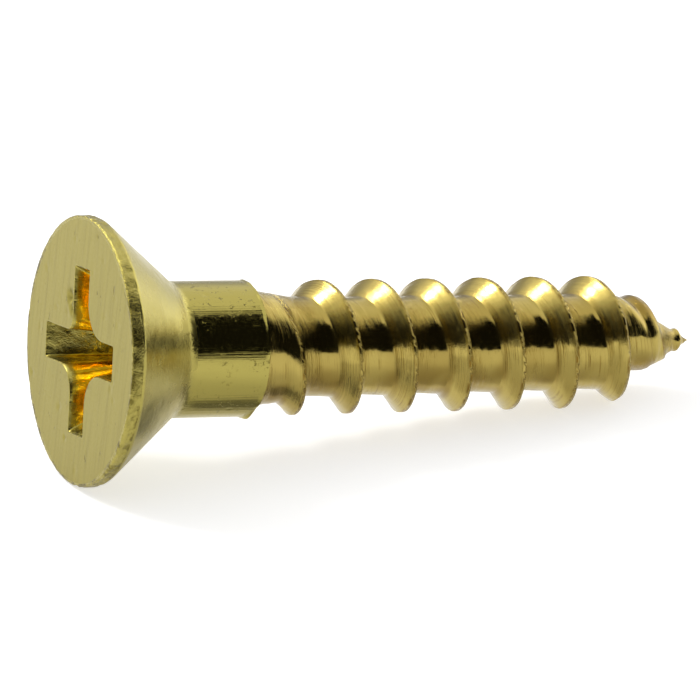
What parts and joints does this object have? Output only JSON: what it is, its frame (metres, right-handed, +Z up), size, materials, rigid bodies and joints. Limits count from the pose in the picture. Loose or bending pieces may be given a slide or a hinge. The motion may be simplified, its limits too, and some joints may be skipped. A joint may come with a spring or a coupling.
{
  "type": "flat head wood screw",
  "caption": "Solid brass wood screw with a flat countersunk head, cross recess, short plain shank, cut thread and gimlet point, lying at rest.",
  "frame": {"origin": "on the table under the middle of the lying screw's box", "axes": "+X runs from the head to the point, along the lying screw, which slopes down towards the point; +Z is up"},
  "size_m": [0.0194, 0.0074, 0.0075],
  "materials": {
    "brass": "bright cut brass, satin on the face and head, lightly scratched"
  },
  "bodies": {
    "root": {"screw": "brass"}
  },
  "joints": []
}
